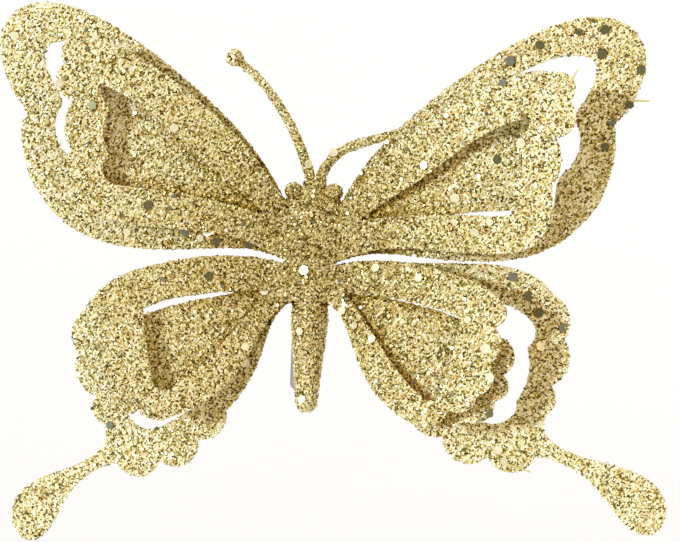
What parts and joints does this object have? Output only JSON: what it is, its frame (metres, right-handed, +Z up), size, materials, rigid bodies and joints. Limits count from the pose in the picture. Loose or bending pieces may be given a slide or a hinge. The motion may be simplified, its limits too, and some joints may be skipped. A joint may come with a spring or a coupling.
{
  "type": "butterfly ornament",
  "caption": "Glitter-coated butterfly ornament with layered, cut-out wings and bent antennae, held by a sprung metal clip behind its body.",
  "frame": {"origin": "between the clip's jaws, where it grips, in the ornament's middle plane", "axes": "+X the viewer's right along the wing span, +Y away from the viewer, towards the clip, +Z up, from the abdomen to the head"},
  "size_m": [0.1493, 0.0332, 0.1213],
  "materials": {
    "gold_glitter": "coated all over in fine pale-gold glitter with loose flakes",
    "clip_steel": "bright plated sheet",
    "spring_wire": "drawn wire"
  },
  "bodies": {
    "ornament": {"body": "gold_glitter", "left_antenna": "gold_glitter", "right_antenna": "gold_glitter", "left_forewing_frame": "gold_glitter", "left_forewing_panel": "gold_glitter", "left_forewing_ring": "gold_glitter", "left_hindwing_frame": "gold_glitter", "left_hindwing_panel": "gold_glitter", "left_hindwing_ring": "gold_glitter", "right_forewing_frame": "gold_glitter", "right_forewing_panel": "gold_glitter", "right_forewing_ring": "gold_glitter", "right_hindwing_frame": "gold_glitter", "right_hindwing_panel": "gold_glitter", "right_hindwing_ring": "gold_glitter", "clip_fixed_arm": "clip_steel", "clip_pin": "clip_steel", "clip_spring": "spring_wire"},
    "clip_lever": {"clip_moving_arm": "clip_steel"}
  },
  "joints": [
    {"name": "clip_hinge", "type": "hinge", "parent": "ornament", "child": "clip_lever", "pos_m": [-0.0016, 0, -0.022], "axis": [-1, 0, 0], "range_deg": [0, 28], "stiffness_Nm_per_rad": 0.06, "springref_deg": -28.65, "deforming": ["clip_spring"]}
  ]
}
